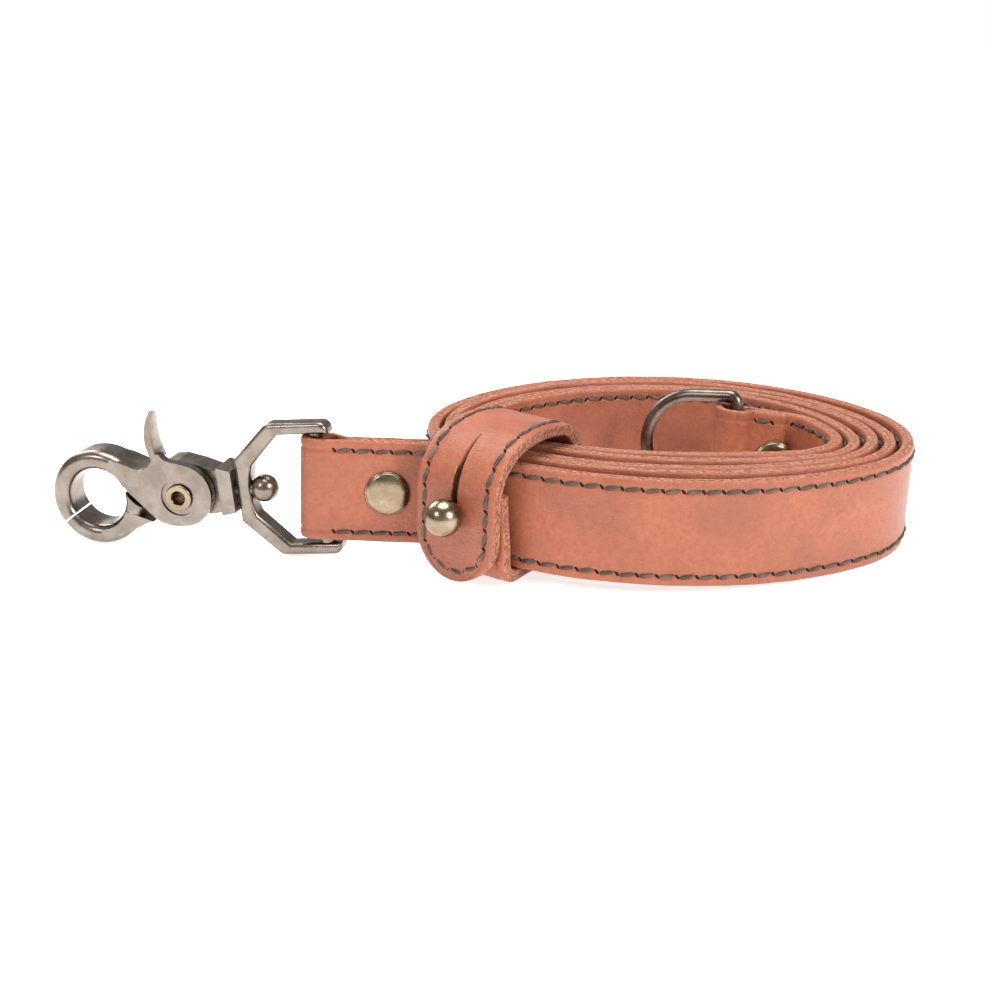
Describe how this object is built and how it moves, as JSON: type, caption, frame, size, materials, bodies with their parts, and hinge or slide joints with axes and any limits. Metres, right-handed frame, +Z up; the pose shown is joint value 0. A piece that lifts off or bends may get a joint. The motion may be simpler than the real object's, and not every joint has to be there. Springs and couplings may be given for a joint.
{
  "type": "instrument neck strap",
  "caption": "Long stitched leather strap rolled into a flat coil on its edge, held by a studded leather keeper, with a swivel trigger snap at its outer end and a D-ring inside the coil.",
  "frame": {"origin": "middle of the bounding box's bottom face, on the ground the coil stands on", "axes": "+X from the snap towards the coil's closed side, +Y from the keeper's stud side to the far side of the coil, +Z up"},
  "size_m": [0.1708, 0.0786, 0.0287],
  "materials": {
    "leather": "smooth tan leather with raw cut edges",
    "thread": "dark waxed thread",
    "antique_metal": "satin antique nickel",
    "antique_brass": "polished antique brass",
    "spring_steel": "drawn spring wire"
  },
  "bodies": {
    "strap": {"strap_face_ply": "leather", "strap_lining_ply": "leather", "strap_upper_stitching": "thread", "strap_lower_stitching": "thread", "hook_rivet_cap": "antique_brass", "hook_rivet_post": "antique_metal", "ring_rivet_cap": "antique_brass", "ring_rivet_post": "antique_metal"},
    "keeper": {"keeper_face_ply": "leather", "keeper_lining_ply": "leather", "keeper_stitching": "thread", "keeper_stud": "antique_brass", "keeper_stud_screw": "antique_metal"},
    "loop": {"swivel_loop": "antique_metal"},
    "snap": {"swivel_post": "antique_metal", "snap_body": "antique_metal", "trigger_pivot": "antique_brass", "trigger_spring": "spring_steel"},
    "lever": {"trigger": "antique_metal"},
    "ring": {"d_ring": "antique_metal"}
  },
  "joints": [
    {"name": "keeper_slide", "type": "slide", "parent": "strap", "child": "keeper", "axis": [0.7982, -0.602, -0.0219], "range_m": [-0.0008, 0.002]},
    {"name": "loop_pivot", "type": "hinge", "parent": "strap", "child": "loop", "pos_m": [-0.03133, -0.01768, 0.01451], "axis": [-0.0934, 0.0216, 0.9954], "range_deg": [-60, 60]},
    {"name": "swivel_spin", "type": "hinge", "parent": "loop", "child": "snap", "pos_m": [-0.04748, -0.01396, 0.01291], "axis": [0.9699, -0.2239, 0.0958], "continuous": true},
    {"name": "trigger_hinge", "type": "hinge", "parent": "snap", "child": "lever", "pos_m": [-0.0585, -0.01141, 0.01142], "axis": [0.225, 0.9744, 0], "range_deg": [0, 28], "stiffness_Nm_per_rad": 0.1, "springref_deg": -28.65},
    {"name": "ring_pivot", "type": "hinge", "parent": "strap", "child": "ring", "pos_m": [0.05029, 0.00702, 0.01351], "axis": [0.0988, 0.0137, 0.995], "range_deg": [-25, 60]}
  ]
}
